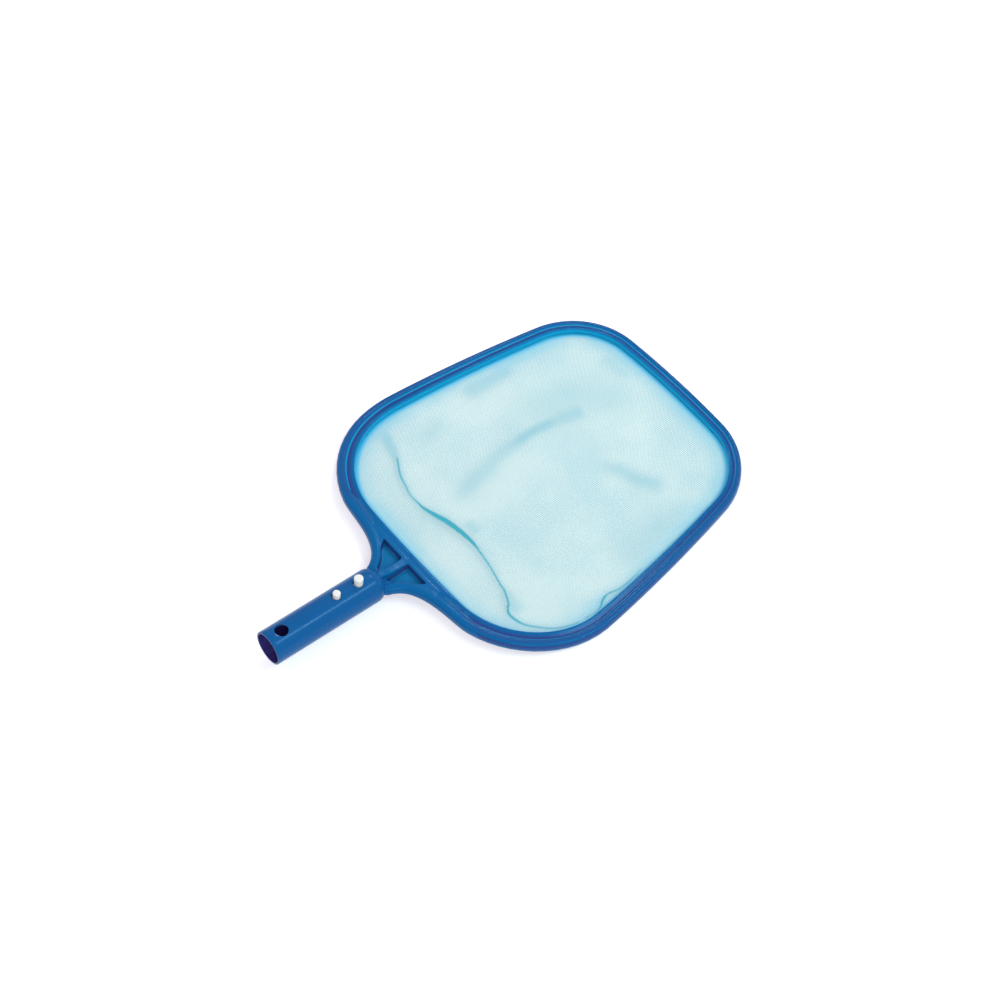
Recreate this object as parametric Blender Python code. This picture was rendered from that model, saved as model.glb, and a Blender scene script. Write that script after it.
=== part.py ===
"""Leaf skimmer head: a moulded frame with a stretched net, and a handle socket with a push-in pole clip.

Units are metres. +X runs from the handle socket to the far side of the net, +Z is up and the head
lies on its rim at z = 0. Every size below can be changed by itself: the outlines, seats, holes and
pockets are worked out from these values.
"""

import math

import bmesh
import bpy
from mathutils import Matrix, Vector

# Net opening, seen from above along the rim's inner lip. x = 0 is its edge nearest the handle.
OPENING_LENGTH = 0.3262
NEAR_HALF_WIDTH = 0.1551  # at the centres of the corners beside the handle
FAR_HALF_WIDTH = 0.1329  # at the centres of the far corners
NEAR_CORNER_RADIUS = 0.0901
FAR_CORNER_RADIUS = 0.0693
NEAR_SIDE_RADIUS = 1.8  # the four sides bow outwards a little
LONG_SIDE_RADIUS = 1.6
FAR_SIDE_RADIUS = 1.1

# Rim section: an inner wall whose lip slopes out to a shallow groove, then a round hollow bead.
LIP_WIDTH_NEAR = 0.0070
LIP_WIDTH_FAR = 0.0048
BEAD_WIDTH_NEAR = 0.0098
BEAD_WIDTH_FAR = 0.0059
GROOVE_WIDTH = 0.0016
GROOVE_FLOOR = 0.0090
LIP_TOP = 0.0112
LIP_RIDGE = 0.0018  # from the opening to the lip's highest line
LIP_BOTTOM = 0.0042
LIP_ROUND = 0.0012
BEAD_TOP = 0.0120
BEAD_RIDGE = 0.0030  # from the bead's inner edge to its highest line
BEAD_ROUND = 0.0010
BEAD_MIDDLE = 0.0054  # the height at which the bead is widest
BEAD_TUCK = 0.28  # how far its foot lies inside that, as a share of its width
FOOT_WIDTH = 0.0008
INNER_FOOT = 0.0023
WALL = 0.0020
ROOF = 0.0024

# Neck: two arms, a deck with two pockets, and a rib that climbs to the socket.
NECK_RISE = 0.0090
RISE_FROM_X = 0.0940
RISE_TO_X = -0.0172
ARM_LEAVES_RIM_Y = 0.0860
ARM_RIM_HANDLE = 0.0210
ARM_SOCKET_HANDLE = (0.0500, 0.0062)
ARM_END = (-0.0527, 0.0058)
ARM_FOOT = 0.0035
ARM_FOOT_FROM_X = -0.0032
ARM_FOOT_TO_X = -0.0252
GROOVE_END_Y = 0.0440
GROOVE_RAMP = 0.0160
CROSSBAR_WIDTH = 0.0107
DECK_BOTTOM = 0.0010
DECK_STEP = 0.0001
POCKET_FLOOR = 0.0034
POCKET_OUTER_Y = 0.0330
POCKET_CORNER_RADIUS = 0.0018
GATE_MARK_RADIUS = 0.0030
GATE_MARK_DEPTH = 0.0007
RIB_WIDTH = 0.0086
RIB_CLIMB = 0.0080

# Handle socket: a tube with a domed end, tilted up towards its mouth.
SOCKET_RADIUS = 0.01725
POLE_RADIUS = 0.0150
POLE_CLEARANCE = 0.0002
SOCKET_LENGTH = 0.1162  # from the dome's centre to the mouth
SOCKET_TILT = math.radians(5.04)
DOME_CENTRE_X = -0.0534
DOME_LENGTH = 0.0142
SOCKET_GROUND_GAP = 0.0003
CAVITY_RADIUS = 0.0133
POLE_STOP = 0.0240
CAVITY_END = 0.0095
CAVITY_CHAMFER = 0.0043
MOUTH_CHAMFER = 0.0005
LATCH_HOLE_RADIUS = 0.00665
LATCH_HOLE_FROM_MOUTH = 0.0155

# Pole clip: a bent strip whose upper leg carries the two buttons.
STRIP_WIDTH = 0.0090
STRIP_THICKNESS = 0.0018
CLIP_BEND_RADIUS = 0.0050
CLIP_BASE_LENGTH = 0.0500
CLIP_BACK = 0.0025
ARM_HEEL = 0.0009
ARM_TIP_MARGIN = 0.0020
LARGE_BUTTON_RADIUS = 0.0045
LARGE_BUTTON_HEIGHT = 0.0075
LARGE_BUTTON_POSITION = 0.0126
SMALL_BUTTON_RADIUS = 0.0038
SMALL_BUTTON_HEIGHT = 0.0052
SMALL_BUTTON_POSITION = 0.0380
BUTTON_ROUND = 0.0014
BUTTON_PLAY = 0.0008
BUTTON_BIAS = 0.0005  # the holes lie this much nearer the mouth, where the buttons lean when pressed

# Net, its welded hem and the ring that clamps it under the lip.
RING_BOTTOM = 0.0010
HEM_THICKNESS = 0.0004
NET_THICKNESS = 0.0008
NET_SAG = 0.0012

GAP = 0.0003  # between pieces that touch
SIDE_STEPS = 14
CORNER_STEPS = 16
END_STEPS = 6
ARM_STEPS = 22
ROUND_STEPS = 56
NET_RINGS = (1.0, 0.86, 0.64, 0.34)
BEND_STEPS = 9
CLIP_BEND_STEPS = 6

BLUE = (0.010, 0.117, 0.360, 1.0)
DEEP_BLUE = (0.012, 0.100, 0.310, 1.0)
AQUA = (0.50, 0.78, 0.82, 1.0)
TEAL = (0.12, 0.50, 0.58, 1.0)
IVORY = (0.86, 0.85, 0.79, 1.0)


def clear_scene():
    for obj in list(bpy.data.objects):
        bpy.data.objects.remove(obj, do_unlink=True)


def material(name, colour, roughness, alpha=1.0):
    made = bpy.data.materials.new(name)
    made.use_nodes = True
    shader = made.node_tree.nodes["Principled BSDF"]
    shader.inputs["Base Color"].default_value = colour
    shader.inputs["Roughness"].default_value = roughness
    shader.inputs["Metallic"].default_value = 0.0
    shader.inputs["Alpha"].default_value = alpha
    return made


def mix(start, end, share):
    return start + (end - start) * share


def smooth_step(share):
    share = min(max(share, 0.0), 1.0)
    return share * share * (3 - 2 * share)


def neck_lift(x):
    """How far the frame has risen at x: level under the net, then swept up to the socket."""
    return NECK_RISE * smooth_step((RISE_FROM_X - x) / (RISE_FROM_X - RISE_TO_X))


def arm_foot(x):
    """Height of the bead's foot above its level under the net: the arms grow shallower."""
    return ARM_FOOT * smooth_step((ARM_FOOT_FROM_X - x) / (ARM_FOOT_FROM_X - ARM_FOOT_TO_X))


# ---------------------------------------------------------------- outlines


def circle_through(first, second, radius):
    """Centre of the circle through two points, on the side nearer the axis y = 0."""
    chord = second - first
    middle = (first + second) / 2
    normal = Vector((-chord.y, chord.x)).normalized()
    if normal.y > 0:
        normal = -normal
    return middle + normal * math.sqrt(radius**2 - (chord.length / 2) ** 2)


def corner_centre(side, end, end_radius, radius, beside):
    """Centre of the corner circle that touches a long side and an end from inside, beside a point."""
    across = end - side
    reach = LONG_SIDE_RADIUS - radius
    other = end_radius - radius
    along = (reach**2 - other**2 + across.length_squared) / (2 * across.length)
    height = math.sqrt(max(reach**2 - along**2, 0.0))
    foot = side + across.normalized() * along
    square = Vector((-across.y, across.x)).normalized() * height
    near = beside - Vector((0, radius))
    return min((foot + square, foot - square), key=lambda point: (point - near).length)


def arc_points(centre, radius, start, end, steps, shift):
    """Points from the direction start towards the direction end, set off by a share of a step."""
    first = math.atan2(start.y, start.x)
    last = math.atan2(end.y, end.x)
    found = []
    for step in range(steps):
        angle = mix(first, last, (step + shift) / steps)
        normal = Vector((math.cos(angle), math.sin(angle)))
        found.append((centre + normal * radius, normal))
    return found


def half_outline(shift=0.0):
    """The lip's inner edge where y > 0 as (point, outward normal), from the far side to the handle."""
    near_point = Vector((NEAR_CORNER_RADIUS, NEAR_HALF_WIDTH))
    far_point = Vector((OPENING_LENGTH - FAR_CORNER_RADIUS, FAR_HALF_WIDTH))
    side = circle_through(far_point, near_point, LONG_SIDE_RADIUS)
    far = Vector((OPENING_LENGTH - FAR_SIDE_RADIUS, 0))
    near = Vector((NEAR_SIDE_RADIUS, 0))
    far_corner = corner_centre(side, far, FAR_SIDE_RADIUS, FAR_CORNER_RADIUS, far_point)
    near_corner = corner_centre(side, near, NEAR_SIDE_RADIUS, NEAR_CORNER_RADIUS, near_point)
    from_far = far_corner - far
    from_side = far_corner - side
    to_side = near_corner - side
    to_near = near_corner - near
    half = arc_points(far, FAR_SIDE_RADIUS, Vector((1, 0)), from_far, END_STEPS, shift)
    half += arc_points(far_corner, FAR_CORNER_RADIUS, from_far, from_side, CORNER_STEPS, shift)
    half += arc_points(side, LONG_SIDE_RADIUS, from_side, to_side, SIDE_STEPS, shift)
    half += arc_points(near_corner, NEAR_CORNER_RADIUS, to_side, to_near, CORNER_STEPS, shift)
    half += arc_points(near, NEAR_SIDE_RADIUS, to_near, Vector((-1, 1e-9)), END_STEPS, shift)
    return half


def mirrored_back(pairs):
    """The same points and normals on the other side of y = 0, in the opposite order."""
    flip = Vector((1, -1))
    return [(point * flip, normal * flip) for point, normal in pairs][::-1]


def opening_outline():
    """The lip's inner edge as (point, outward normal), anticlockwise from the middle of the far side."""
    half = half_outline()
    return half + [(Vector((0, 0)), Vector((-1, 0)))] + mirrored_back(half[1:])


def share_along(x):
    return min(max(x / OPENING_LENGTH, 0.0), 1.0)


def lip_width(x):
    return mix(LIP_WIDTH_NEAR, LIP_WIDTH_FAR, share_along(x))


def bead_width(x):
    return mix(BEAD_WIDTH_NEAR, BEAD_WIDTH_FAR, share_along(x))


def bead_on_rim(point, normal):
    """The bead's inner edge beside a point of the opening."""
    return point + normal * (lip_width(point.x) + GROOVE_WIDTH)


def bezier(points, share):
    a, b, c, d = points
    rest = 1 - share
    place = a * rest**3 + b * 3 * rest**2 * share + c * 3 * rest * share**2 + d * share**3
    speed = (b - a) * 3 * rest**2 + (c - b) * 6 * rest * share + (d - c) * 3 * share**2
    return place, speed.normalized()


def arm_stations(start, steps):
    """The arm's inner edge from where it leaves the rim to inside the socket, as (point, normal)."""
    place, normal = start
    along = Vector((-normal.y, normal.x))
    end = Vector(ARM_END)
    route = [place, place + along * ARM_RIM_HANDLE, end + Vector(ARM_SOCKET_HANDLE), end]
    found = []
    for step in range(1, steps + 1):
        point, heading = bezier(route, step / steps)
        found.append((point, Vector((heading.y, -heading.x))))
    return found


def bead_path(shift=0.5, steps=ARM_STEPS):
    """The bead's inner edge, from the end of one arm, round the net, to the end of the other."""
    half = [(bead_on_rim(*pair), pair[1]) for pair in half_outline(shift)]
    half = [pair for pair in half if pair[0].x > 0 or pair[0].y > ARM_LEAVES_RIM_Y]
    half += arm_stations(half[-1], steps)
    return mirrored_back(half) + half


# ---------------------------------------------------------------- mesh helpers


def new_object(name, mesh, parent, look):
    obj = bpy.data.objects.new(name, mesh)
    bpy.context.scene.collection.objects.link(obj)
    obj.parent = parent
    if look:
        mesh.materials.append(look)
    return obj


def finished_mesh(name, builder, smooth_angle=math.radians(32)):
    bmesh.ops.recalc_face_normals(builder, faces=builder.faces)
    mesh = bpy.data.meshes.new(name)
    builder.to_mesh(mesh)
    builder.free()
    mesh.shade_smooth()
    mesh.set_sharp_from_angle(angle=smooth_angle)
    return mesh


def loft(name, rings, closed):
    """A solid through rings of points, joined end to end or capped at both ends."""
    builder = bmesh.new()
    rows = [[builder.verts.new(point) for point in ring] for ring in rings]
    pairs = list(zip(rows, rows[1:] + rows[:1])) if closed else list(zip(rows, rows[1:]))
    for here, there in pairs:
        for index in range(len(here)):
            after = (index + 1) % len(here)
            builder.faces.new((here[index], here[after], there[after], there[index]))
    if not closed:
        builder.faces.new(rows[0])
        builder.faces.new(rows[-1])
    return finished_mesh(name, builder)


def section_ring(point, normal, section):
    """A section of (distance along the normal, height) pairs set up at a point of an outline."""
    return [Vector((*(point + normal * reach), height)) for reach, height in section]


def prism(name, outline, low, high, corner=0.0):
    """An upright solid over a plan outline, whose sharp corners may be rounded."""
    builder = bmesh.new()
    base = [builder.verts.new((*point, low)) for point in outline]
    face = builder.faces.new(base)
    grown = bmesh.ops.extrude_face_region(builder, geom=[face])
    lifted = [item for item in grown["geom"] if isinstance(item, bmesh.types.BMVert)]
    bmesh.ops.translate(builder, verts=lifted, vec=(0, 0, high - low))
    if corner:
        bmesh.ops.recalc_face_normals(builder, faces=builder.faces)
        upright = [edge for edge in builder.edges if edge.verts[0].co.z != edge.verts[1].co.z]
        sharp = [edge for edge in upright if edge.calc_face_angle() > math.radians(35)]
        bmesh.ops.bevel(builder, geom=sharp, offset=corner, segments=4, affect="EDGES", profile=0.5)
    return finished_mesh(name, builder)


def turned(name, profile):
    """A solid turned about the X axis from (position, radius) pairs, whose first and last lie on it."""
    builder = bmesh.new()
    points = [builder.verts.new((position, 0, radius)) for position, radius in profile]
    edges = [builder.edges.new(pair) for pair in zip(points, points[1:])]
    bmesh.ops.spin(
        builder, geom=points + edges, cent=(0, 0, 0), axis=(1, 0, 0), angle=2 * math.pi, steps=ROUND_STEPS
    )
    bmesh.ops.remove_doubles(builder, verts=builder.verts, dist=1e-6)
    return finished_mesh(name, builder)


def upright_cylinder(builder, position, radius, low, high, rounding=0.0):
    """A cylinder along Z whose top edge may be rounded."""
    made = bmesh.ops.create_cone(
        builder,
        cap_ends=True,
        segments=ROUND_STEPS // 2,
        radius1=radius,
        radius2=radius,
        depth=high - low,
        matrix=Matrix.Translation((position, 0, (low + high) / 2)),
    )
    if rounding:
        top = [
            edge
            for edge in builder.edges
            if edge.verts[0] in made["verts"] and all(vert.co.z > high - 1e-6 for vert in edge.verts)
        ]
        bmesh.ops.bevel(builder, geom=top, offset=rounding, segments=4, affect="EDGES", profile=0.5)


def strip(name, outline, width):
    """A solid of a side outline in X and Z, as wide as given across Y."""
    builder = bmesh.new()
    base = [builder.verts.new((x, -width / 2, z)) for x, z in outline]
    face = builder.faces.new(base)
    grown = bmesh.ops.extrude_face_region(builder, geom=[face])
    moved = [item for item in grown["geom"] if isinstance(item, bmesh.types.BMVert)]
    bmesh.ops.translate(builder, verts=moved, vec=(0, width, 0))
    return finished_mesh(name, builder)


def helper(name, mesh, parent):
    obj = new_object(name, mesh, parent, None)
    obj.hide_render = True
    obj.display_type = "WIRE"
    return obj


def add_boolean(obj, tool, operation):
    change = obj.modifiers.new(tool.name, "BOOLEAN")
    change.operation = operation
    change.solver = "EXACT"
    change.object = tool


def baked_builder(obj):
    """The object's shape with its modifiers worked in, as a bmesh."""
    bpy.context.view_layer.update()
    graph = bpy.context.evaluated_depsgraph_get()
    builder = bmesh.new()
    builder.from_mesh(obj.evaluated_get(graph).data)
    return builder


def remove(*objects):
    for obj in objects:
        bpy.data.objects.remove(obj, do_unlink=True)


# ---------------------------------------------------------------- frame


def lip_solid(head):
    """The inner wall and its lip, all round. Between the arms the lip stays level, to meet the deck."""
    rings = []
    for point, normal in opening_outline():
        lip = lip_width(point.x)
        outer = lip + GROOVE_WIDTH + WALL / 2
        between_arms = normal.x < 0 and abs(point.y) < ARM_LEAVES_RIM_Y
        floor = LIP_TOP - 2 * DECK_STEP if between_arms else GROOVE_FLOOR
        section = [
            (0, LIP_BOTTOM),
            (0, LIP_TOP - LIP_ROUND),
            (LIP_RIDGE / 3, LIP_TOP - LIP_ROUND / 4),
            (LIP_RIDGE, LIP_TOP),
            (lip, floor),
            (outer, floor),
            (outer, GROOVE_FLOOR - WALL),
            (lip, GROOVE_FLOOR - WALL),
            (WALL, LIP_TOP - ROOF - DECK_STEP),
            (WALL, LIP_BOTTOM),
        ]
        rings.append(section_ring(point, normal, section))
    return helper("lip_shape", loft("lip_shape", rings, closed=True), head)


def bead_section(width, foot):
    """The outer bead's section: a round shell, open underneath. Its foot may be raised."""
    tuck = width * BEAD_TUCK
    squash = (BEAD_MIDDLE - foot) / BEAD_MIDDLE
    inner_foot = max(foot, INNER_FOOT)
    outside = [
        (0, inner_foot),
        (0, GROOVE_FLOOR + DECK_STEP),
        (BEAD_RIDGE * 0.25, BEAD_TOP - BEAD_ROUND * 1.3),
        (BEAD_RIDGE * 0.62, BEAD_TOP - BEAD_ROUND * 0.3),
        (BEAD_RIDGE, BEAD_TOP),
        (width - tuck * 0.9, BEAD_TOP - BEAD_ROUND * 0.8),
        (width - tuck * 0.25, BEAD_TOP - BEAD_ROUND * 3.2),
        (width, BEAD_MIDDLE),
        (width - tuck * 0.15, foot + BEAD_MIDDLE * 0.5 * squash),
        (width - tuck * 0.55, foot + BEAD_MIDDLE * 0.15 * squash),
        (width - tuck, foot),
    ]
    inside = [
        (width - tuck - FOOT_WIDTH, foot),
        (width - tuck * 0.15 - WALL, foot + BEAD_MIDDLE * 0.6 * squash),
        (width - WALL, BEAD_MIDDLE),
        (width - tuck * 0.4 - WALL, BEAD_TOP - ROOF - BEAD_ROUND * 1.8),
        (width - tuck * 0.9 - WALL, BEAD_TOP - ROOF - BEAD_ROUND * 0.6),
        (WALL + BEAD_ROUND * 0.3, BEAD_TOP - ROOF),
        (WALL, BEAD_TOP - ROOF - BEAD_ROUND * 1.5),
        (WALL, inner_foot),
    ]
    return outside + inside


def bead_solid(head):
    """The outer bead, which leaves the rim beside the handle and runs on as the two arms."""
    rings = []
    for point, normal in bead_path():
        section = bead_section(bead_width(point.x), arm_foot(point.x))
        rings.append(section_ring(point, normal, section))
    return helper("bead_shape", loft("bead_shape", rings, closed=False), head)


def groove_cutter(head, side):
    """The groove beside one arm, which runs on from the rim's and fades out."""
    rings = []
    for point, normal in bead_path(0.25, ARM_STEPS - 3):
        from_end = point.y * side - GROOVE_END_Y
        if point.x > 0 or normal.x > 0 or from_end < 0:
            continue
        floor = mix(LIP_TOP + DECK_STEP, GROOVE_FLOOR, min(from_end / GROOVE_RAMP, 1.0))
        brink = LIP_RIDGE - LIP_WIDTH_NEAR - GROOVE_WIDTH
        section = [
            (DECK_STEP - GROOVE_WIDTH, floor + DECK_STEP),
            (brink, LIP_TOP + DECK_STEP),
            (brink, BEAD_TOP + WALL),
            (DECK_STEP, BEAD_TOP + WALL),
            (DECK_STEP, floor + DECK_STEP),
        ]
        rings.append(section_ring(point, normal, section))
    name = "groove_cutter_left" if side > 0 else "groove_cutter_right"
    return helper(name, loft(name, rings, closed=False), head)


def deck_solid(head):
    """The plate between the arms and the opening's near edge."""
    path = bead_path(0.75, ARM_STEPS - 5)
    arms = [point + normal * WALL / 2 for point, normal in path if point.x < 0]
    one = [point for point in arms if point.y < 0]
    two = [point for point in arms if point.y > 0]
    near = [
        point + normal * (lip_width(point.x) + WALL / 4)
        for point, normal in half_outline(0.4)
        if normal.x < -0.5 and point.y < ARM_LEAVES_RIM_Y
    ]
    near = [point * Vector((1, -1)) for point in near] + near[::-1]
    shape = prism("deck_shape", one + near + two, DECK_BOTTOM, LIP_TOP - DECK_STEP)
    return helper("deck_shape", shape, head)


def rib_solid(head):
    """The rib on the deck's centre line, climbing to the socket."""
    start = -CROSSBAR_WIDTH
    end = DOME_CENTRE_X + DOME_LENGTH / 2
    climb = ((0.0, -2 * DECK_STEP), (0.3, 0.1), (0.55, 0.35), (0.75, 0.75), (1.0, 1.35))
    rings = []
    for share, rise in climb:
        rise = rise * RIB_CLIMB if rise > 0 else rise
        x = mix(start, end, share)
        top = LIP_TOP + rise
        half = RIB_WIDTH / 2
        rings.append(
            [
                Vector((x, -half, POCKET_FLOOR - WALL / 2)),
                Vector((x, -half, top - BEAD_ROUND)),
                Vector((x, -half + BEAD_ROUND, top)),
                Vector((x, half - BEAD_ROUND, top)),
                Vector((x, half, top - BEAD_ROUND)),
                Vector((x, half, POCKET_FLOOR - WALL / 2)),
            ]
        )
    return helper("rib_shape", loft("rib_shape", rings, closed=False), head)


def pocket_cutter(head, side):
    """One triangular pocket beside the rib, bounded by the crossbar, the arm and the dome."""
    end_x = DOME_CENTRE_X + DOME_LENGTH
    path = bead_path(0.6, ARM_STEPS - 7)
    edge = [point + normal * DECK_STEP for point, normal in path if point.y > 0]
    edge = [point for point in edge if end_x - 2 * WALL < point.x < -CROSSBAR_WIDTH - DECK_STEP]
    edge = [point for point in edge if point.y < POCKET_OUTER_Y - 2 * WALL]
    edge.sort(key=lambda point: -point.x)
    half = RIB_WIDTH / 2
    outline = [Vector((-CROSSBAR_WIDTH, half)), Vector((-CROSSBAR_WIDTH, POCKET_OUTER_Y))] + edge
    outline.append(Vector((end_x + WALL, half)))
    outline = [point * Vector((1, side)) for point in outline]
    name = "pocket_cutter_left" if side > 0 else "pocket_cutter_right"
    shape = prism(name, outline, POCKET_FLOOR, BEAD_TOP + NECK_RISE, POCKET_CORNER_RADIUS)
    return helper(name, shape, head)


def gate_mark_cutter(head):
    """The shallow round mark where the rib meets the crossbar."""
    builder = bmesh.new()
    low = LIP_TOP - GATE_MARK_DEPTH
    upright_cylinder(builder, -CROSSBAR_WIDTH / 2, GATE_MARK_RADIUS, low, BEAD_TOP)
    return helper("gate_mark_cutter", finished_mesh("gate_mark_cutter", builder), head)


def dome_profile(radius, length):
    """A quarter ellipse from the dome's tip to its base, as (position, radius) pairs."""
    steps = ROUND_STEPS // 4
    angles = [math.pi / 2 * step / steps for step in range(1, steps + 1)]
    return [(-length, 0)] + [(-length * math.cos(angle), radius * math.sin(angle)) for angle in angles]


def socket_envelope(axis):
    """The socket's outside grown by the gap, which the neck is moulded round."""
    profile = dome_profile(SOCKET_RADIUS + GAP, DOME_LENGTH + GAP)
    profile += [(POLE_STOP * 2, SOCKET_RADIUS + GAP), (POLE_STOP * 2, 0)]
    return helper("socket_envelope", turned("socket_envelope", profile), axis)


def build_frame(head, axis, look):
    lip = lip_solid(head)
    bead = bead_solid(head)
    deck = deck_solid(head)
    rib = rib_solid(head)
    grooves = [groove_cutter(head, side) for side in (1, -1)]
    pockets = [pocket_cutter(head, side) for side in (1, -1)]
    for shape in (bead, deck):
        add_boolean(lip, shape, "UNION")
    for shape in grooves + pockets:
        add_boolean(lip, shape, "DIFFERENCE")
    add_boolean(lip, rib, "UNION")
    mark = gate_mark_cutter(head)
    add_boolean(lip, mark, "DIFFERENCE")
    builder = baked_builder(lip)
    for step in range(1, BEND_STEPS):
        x = mix(RISE_FROM_X, RISE_TO_X, step / BEND_STEPS)
        everything = builder.verts[:] + builder.edges[:] + builder.faces[:]
        bmesh.ops.bisect_plane(builder, geom=everything, plane_co=(x, 0, 0), plane_no=(1, 0, 0))
    bmesh.ops.triangulate(builder, faces=builder.faces)
    for vertex in builder.verts:
        vertex.co.z += neck_lift(vertex.co.x)
    frame = new_object("frame", finished_mesh("frame", builder), head, look)
    add_boolean(frame, socket_envelope(axis), "DIFFERENCE")
    remove(lip, bead, deck, rib, mark, *grooves, *pockets)
    return frame


# ---------------------------------------------------------------- net


def band(name, head, look, inset, low, high):
    """A flat band under the lip, as wide as its seat less the gaps."""
    rings = []
    for point, normal in opening_outline():
        outer = lip_width(point.x) - GAP
        lift = neck_lift(point.x)
        section = [(inset, low + lift), (inset, high + lift), (outer, high + lift), (outer, low + lift)]
        rings.append(section_ring(point, normal, section))
    return new_object(name, loft(name, rings, closed=True), head, look)


def seat_levels():
    """Heights of the hem's underside and top, between the clamping ring and the lip."""
    hem_top = LIP_BOTTOM - GAP
    return hem_top - HEM_THICKNESS, hem_top


def build_net(head, look):
    """A shallow dish that stands for the stretched net, just inside its hem."""
    hem_low, hem_top = seat_levels()
    level = (hem_low + hem_top) / 2
    outline = [point for point, normal in opening_outline()][::2]
    middle = Vector((OPENING_LENGTH / 2, 0))
    builder = bmesh.new()
    layers = []
    for side in (NET_THICKNESS / 2, -NET_THICKNESS / 2):
        rows = []
        for ring in NET_RINGS:
            row = []
            for point in outline:
                place = middle + (point - middle) * ring
                sag = NET_SAG * (1 - ring**2)
                row.append(builder.verts.new((*place, level + side - sag + neck_lift(place.x))))
            rows.append(row)
        centre = builder.verts.new((*middle, level + side - NET_SAG))
        for outer, inner in zip(rows, rows[1:]):
            for index in range(len(outer)):
                after = (index + 1) % len(outer)
                builder.faces.new((outer[index], outer[after], inner[after], inner[index]))
        for index in range(len(outline)):
            builder.faces.new((rows[-1][index], rows[-1][(index + 1) % len(outline)], centre))
        layers.append(rows[0])
    top, bottom = layers
    for index in range(len(outline)):
        after = (index + 1) % len(outline)
        builder.faces.new((top[index], bottom[index], bottom[after], top[after]))
    return new_object("net", finished_mesh("net", builder), head, look)


# ---------------------------------------------------------------- handle socket and clip


def build_socket(axis, look):
    profile = dome_profile(SOCKET_RADIUS, DOME_LENGTH)
    bore = POLE_RADIUS + POLE_CLEARANCE
    profile += [
        (SOCKET_LENGTH - MOUTH_CHAMFER, SOCKET_RADIUS),
        (SOCKET_LENGTH, SOCKET_RADIUS - MOUTH_CHAMFER),
        (SOCKET_LENGTH, bore),
        (POLE_STOP, bore),
        (POLE_STOP, CAVITY_RADIUS),
        (CAVITY_CHAMFER - CAVITY_END, CAVITY_RADIUS),
        (-CAVITY_END, CAVITY_RADIUS - CAVITY_CHAMFER),
        (-CAVITY_END, 0),
    ]
    socket = new_object("handle_socket", turned("handle_socket", profile), axis, look)
    builder = bmesh.new()
    top = SOCKET_RADIUS + LARGE_BUTTON_HEIGHT
    holes = (
        (LARGE_BUTTON_POSITION + BUTTON_BIAS, LARGE_BUTTON_RADIUS + BUTTON_PLAY),
        (SMALL_BUTTON_POSITION + BUTTON_BIAS, SMALL_BUTTON_RADIUS + BUTTON_PLAY),
        (SOCKET_LENGTH - LATCH_HOLE_FROM_MOUTH, LATCH_HOLE_RADIUS),
    )
    for position, radius in holes:
        upright_cylinder(builder, position, radius, CAVITY_RADIUS / 2, top)
    add_boolean(socket, helper("hole_cutter", finished_mesh("hole_cutter", builder), axis), "DIFFERENCE")
    return socket


def strip_levels():
    """Distances from the socket's axis to the inner and outer face of either leg of the clip."""
    room = CAVITY_RADIUS - GAP
    outer = math.sqrt(room**2 - (STRIP_WIDTH / 2) ** 2)
    return outer - STRIP_THICKNESS, outer


def quarter_bend(centre, radius):
    """Points of a quarter circle from straight below its centre to straight behind it."""
    x, z = centre
    angles = [math.pi / 2 * step / CLIP_BEND_STEPS for step in range(CLIP_BEND_STEPS + 1)]
    return [(x - radius * math.sin(angle), z - radius * math.cos(angle)) for angle in angles]


def build_clip_base(axis, look):
    """The lower leg along the socket's floor, bent up into the back that the upper leg hinges on."""
    inner, outer = strip_levels()
    bend = CLIP_BEND_RADIUS
    back_outer = -CLIP_BACK - STRIP_THICKNESS / 2
    back_inner = -CLIP_BACK + STRIP_THICKNESS / 2
    centre = (back_inner + bend, bend - inner)
    outline = [(CLIP_BASE_LENGTH, -outer)] + quarter_bend(centre, bend + STRIP_THICKNESS)
    outline += [(back_outer, inner - GAP), (back_inner, inner - GAP)]
    outline += quarter_bend(centre, bend)[::-1]
    outline.append((CLIP_BASE_LENGTH, -inner))
    return new_object("clip_base", strip("clip_base", outline, STRIP_WIDTH), axis, look)


def build_clip_arm(axis, look):
    """The upper leg with both buttons. Its origin is on the hinge line at the top of the clip's back."""
    inner, outer = strip_levels()
    hinge = bpy.data.objects.new("clip_hinge", None)
    bpy.context.scene.collection.objects.link(hinge)
    hinge.parent = axis
    hinge.location = (-CLIP_BACK, 0, outer)
    tip = SMALL_BUTTON_POSITION + SMALL_BUTTON_RADIUS + ARM_TIP_MARGIN + CLIP_BACK
    leg = [(-ARM_HEEL, inner - outer), (tip, inner - outer), (tip, 0), (-ARM_HEEL, 0)]
    arm = new_object("clip_arm", strip("clip_arm", leg, STRIP_WIDTH), hinge, look)
    buttons = (
        ("large_button_shape", LARGE_BUTTON_POSITION, LARGE_BUTTON_RADIUS, LARGE_BUTTON_HEIGHT),
        ("small_button_shape", SMALL_BUTTON_POSITION, SMALL_BUTTON_RADIUS, SMALL_BUTTON_HEIGHT),
    )
    for name, position, radius, height in buttons:
        builder = bmesh.new()
        low = -STRIP_THICKNESS / 2
        high = SOCKET_RADIUS + height - outer
        upright_cylinder(builder, position + CLIP_BACK, radius, low, high, BUTTON_ROUND)
        add_boolean(arm, helper(name, finished_mesh(name, builder), hinge), "UNION")
    return arm


# ---------------------------------------------------------------- assembly


def head_origin():
    """An empty that puts the middle of the head's length at x = 0."""
    far = OPENING_LENGTH + LIP_WIDTH_FAR + GROOVE_WIDTH + BEAD_WIDTH_FAR
    reach = SOCKET_LENGTH * math.cos(SOCKET_TILT)
    reach += (SOCKET_RADIUS - MOUTH_CHAMFER) * math.sin(SOCKET_TILT)
    origin = bpy.data.objects.new("head_origin", None)
    bpy.context.scene.collection.objects.link(origin)
    origin.location = (-(far + DOME_CENTRE_X - reach) / 2, 0, 0)
    return origin


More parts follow.
